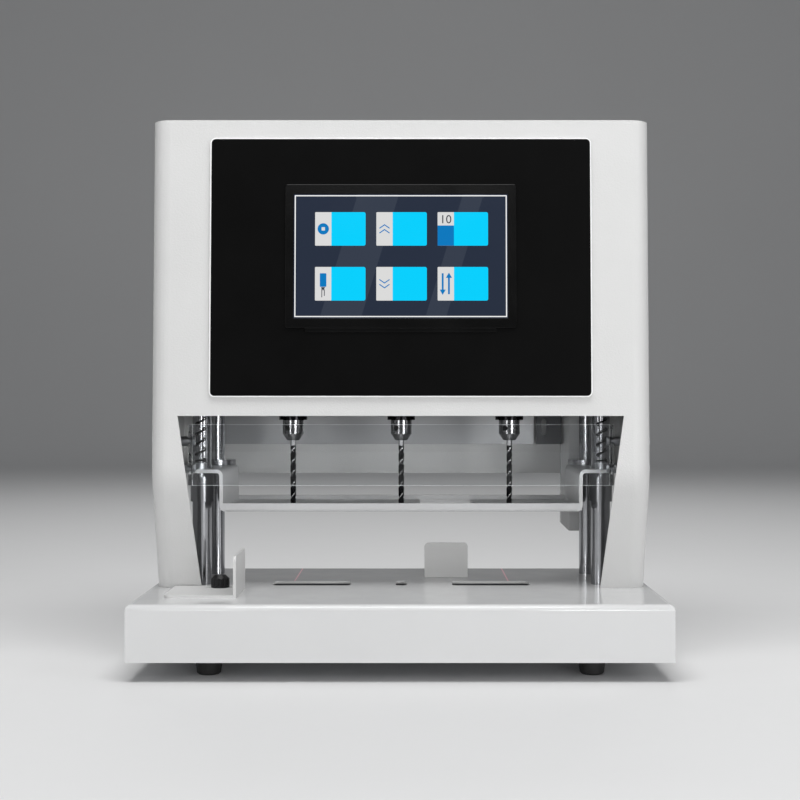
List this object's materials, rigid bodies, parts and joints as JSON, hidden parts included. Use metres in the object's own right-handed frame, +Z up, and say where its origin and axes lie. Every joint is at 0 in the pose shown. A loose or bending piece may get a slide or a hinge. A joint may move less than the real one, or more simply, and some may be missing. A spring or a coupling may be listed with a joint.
{
  "type": "desktop paper drill",
  "caption": "Desktop automatic paper drill: spindles on a screw-driven head over a slotted table, with a sprung clamp, paper stops, clear guard and touch screen",
  "frame": {"origin": "On the floor, under the middle of the base.", "axes": "+Z up, front with the screen faces -Y, +X to the right seen from the front."},
  "size_m": [0.365, 0.2, 0.3865],
  "materials": {
    "white_paint": "fine textured powder coat",
    "base_paint": "smooth light grey powder coat",
    "dark_paint": "dark grey powder coat",
    "plate_steel": "ground steel plate",
    "ground_steel": "polished ground shaft",
    "zinc_screw": "zinc plated",
    "black_steel": "black oxide",
    "chuck_steel": "hardened steel",
    "drill_steel": "bright high speed steel",
    "motor_can": "zinc plated motor can",
    "brass": "turned brass",
    "black_plastic": "satin black",
    "black_gloss": "gloss black",
    "screen_glass": "touch screen",
    "clear_acrylic": "clear acrylic sheet",
    "board": "circuit board",
    "nylon": "white nylon",
    "rubber": "black rubber"
  },
  "bodies": {
    "frame": {"base_pan": "base_paint", "bottom_plate": "zinc_screw", "rubber_feet": "rubber", "foot_screws": "zinc_screw", "post_front_left": "ground_steel", "post_front_right": "ground_steel", "column_rear_left": "ground_steel", "column_rear_right": "ground_steel", "column_nuts": "zinc_screw", "crown_plate": "plate_steel", "head_shell": "white_paint", "rear_cover": "white_paint", "cover_screws": "zinc_screw", "control_panel": "black_plastic", "screen_bezel": "black_gloss", "touch_screen": "screen_glass", "display_housing": "black_plastic", "control_board": "board", "power_supply": "zinc_screw", "power_inlet": "black_plastic", "switch_body": "black_plastic", "guard_shield": "clear_acrylic", "guard_spacers": "zinc_screw", "guard_screws": "zinc_screw", "lift_motor": "dark_paint", "cutting_pads": "nylon", "pad_tray": "zinc_screw", "sensor_duct": "base_paint", "sensor_bracket": "dark_paint", "back_plate": "plate_steel"},
    "rocker": {"power_rocker": "black_gloss"},
    "screw": {"screw_coupling": "zinc_screw", "lead_screw": "ground_steel"},
    "side_stop": {"side_stop": "white_paint"},
    "side_knob": {"side_knob": "black_plastic"},
    "back_stop": {"back_stop": "white_paint"},
    "back_knob": {"back_knob": "black_plastic"},
    "carriage": {"carriage_plate": "plate_steel", "carriage_bushes": "ground_steel", "nut_pillar": "plate_steel", "lead_nut": "brass", "motor_centre": "motor_can"},
    "unit_left": {"saddle_left": "plate_steel", "motor_left": "motor_can", "laser_left": "brass"},
    "unit_right": {"saddle_right": "plate_steel", "motor_right": "motor_can", "laser_right": "brass"},
    "clamp": {"clamp_plate": "base_paint", "clamp_bushes": "ground_steel", "clamp_bearings": "ground_steel", "spring_rods": "ground_steel", "spring_seats": "zinc_screw", "clamp_springs": "black_steel"},
    "spindle_left": {"chuck_left": "chuck_steel", "drill_left": "drill_steel"},
    "spindle_centre": {"chuck_centre": "chuck_steel", "drill_centre": "drill_steel"},
    "spindle_right": {"chuck_right": "chuck_steel", "drill_right": "drill_steel"}
  },
  "joints": [
    {"name": "head_slide", "type": "slide", "parent": "frame", "child": "carriage", "axis": [0, 0, 1], "range_m": [-0.0545, 0]},
    {"name": "screw_turn", "type": "hinge", "parent": "frame", "child": "screw", "pos_m": [0, 0.052, 0.26], "axis": [0, 0, 1], "range_deg": [-2452.5, 0]},
    {"name": "clamp_slide", "type": "slide", "parent": "carriage", "child": "clamp", "axis": [0, 0, 1], "range_m": [0, 0.047], "stiffness_N_per_m": 500, "springref_m": -0.02, "deforming": ["clamp_springs"]},
    {"name": "pitch_left", "type": "slide", "parent": "carriage", "child": "unit_left", "axis": [1, 0, 0], "range_m": [-0.008, 0.036]},
    {"name": "pitch_right", "type": "slide", "parent": "carriage", "child": "unit_right", "axis": [1, 0, 0], "range_m": [-0.036, 0.008]},
    {"name": "spin_left", "type": "hinge", "parent": "unit_left", "child": "spindle_left", "pos_m": [-0.08, 0.008, 0.17], "axis": [0, 0, 1], "continuous": true},
    {"name": "spin_centre", "type": "hinge", "parent": "carriage", "child": "spindle_centre", "pos_m": [0, 0.008, 0.17], "axis": [0, 0, 1], "continuous": true},
    {"name": "spin_right", "type": "hinge", "parent": "unit_right", "child": "spindle_right", "pos_m": [0.08, 0.008, 0.17], "axis": [0, 0, 1], "continuous": true},
    {"name": "side_stop_slide", "type": "slide", "parent": "frame", "child": "side_stop", "axis": [1, 0, 0], "range_m": [-0.008, 0.008]},
    {"name": "side_knob_turn", "type": "hinge", "parent": "frame", "child": "side_knob", "pos_m": [-0.129, -0.0285, 0.055], "axis": [0, 0, 1], "range_deg": [0, 360]},
    {"name": "back_stop_slide", "type": "slide", "parent": "frame", "child": "back_stop", "axis": [0, 1, 0], "range_m": [-0.006, 0.006]},
    {"name": "back_knob_turn", "type": "hinge", "parent": "frame", "child": "back_knob", "pos_m": [0.034, 0.0551, 0.055], "axis": [0, 0, 1], "range_deg": [0, 360]},
    {"name": "rocker_tilt", "type": "hinge", "parent": "frame", "child": "rocker", "pos_m": [-0.062, 0.095, 0.2285], "axis": [1, 0, 0], "range_deg": [0, 14]}
  ],
  "couplings": [
    {"joint": "screw_turn", "follows": "head_slide", "rad_per_m": 785.4}
  ]
}
